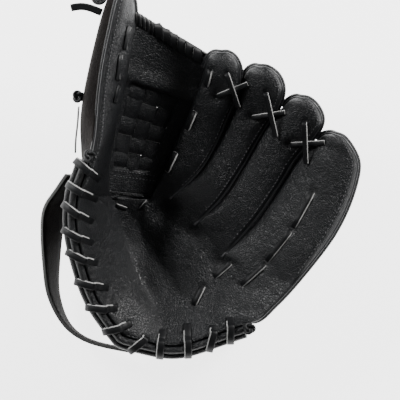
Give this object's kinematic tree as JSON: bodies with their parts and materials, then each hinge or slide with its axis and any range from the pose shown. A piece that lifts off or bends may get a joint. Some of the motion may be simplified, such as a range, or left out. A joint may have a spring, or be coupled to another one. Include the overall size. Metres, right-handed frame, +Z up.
{
  "type": "baseball glove",
  "caption": "Left-hand leather baseball glove lying palm up, with a basket-weave web, padded palm, open hand cavity and laced heel",
  "frame": {"origin": "bottom centre of the bounding box, on the surface the glove's back lies on", "axes": "+Z up out of the palm, +Y away from the wrist end, +X to the little finger's side; the hand's own axis is turned in plan as in the picture"},
  "size_m": [0.3046, 0.2956, 0.1269],
  "materials": {
    "leather_black": "black grained cowhide, semi-gloss",
    "leather_brown": "brownish black grained cowhide, semi-gloss",
    "lace": "black rawhide lace with pale cut edges"
  },
  "bodies": {
    "root": {"palm_front": "leather_black", "hand_back": "leather_black", "index_back": "leather_black", "middle_back": "leather_black", "ring_back": "leather_black", "pinky_back": "leather_black", "crotch_panel": "leather_black", "heel_wing": "leather_black", "heel_roll_front": "leather_black", "heel_roll_back": "leather_black", "thumb_welt": "leather_black", "index_welt": "leather_black", "middle_welt": "leather_black", "ring_welt": "leather_black", "pinky_welt": "leather_black", "web_panel": "leather_black", "cross_strap_1": "leather_black", "cross_strap_2": "leather_black", "cross_strap_3": "leather_black", "cross_strap_4": "leather_black", "cross_strap_5": "leather_black", "web_slat_1": "leather_black", "web_slat_2": "leather_black", "web_slat_3": "leather_black", "holed_tab": "leather_black", "thumb_back": "leather_brown", "wrist_strap": "leather_brown", "pinky_lace": "lace", "palm_lace": "lace", "index_side_lace": "lace", "thumb_side_lace": "lace", "web_base_lace": "lace", "index_tie_cross": "lace", "index_tie_tail": "lace", "middle_tie_cross": "lace", "middle_tie_tail": "lace", "ring_tie_cross": "lace", "ring_tie_tail": "lace", "heel_lace": "lace", "web_top_lace": "lace", "thumb_knot": "lace", "heel_knot": "lace", "thumb_back_knot": "lace", "thumb_back_tail": "lace", "tip_strap": "lace"}
  },
  "joints": []
}
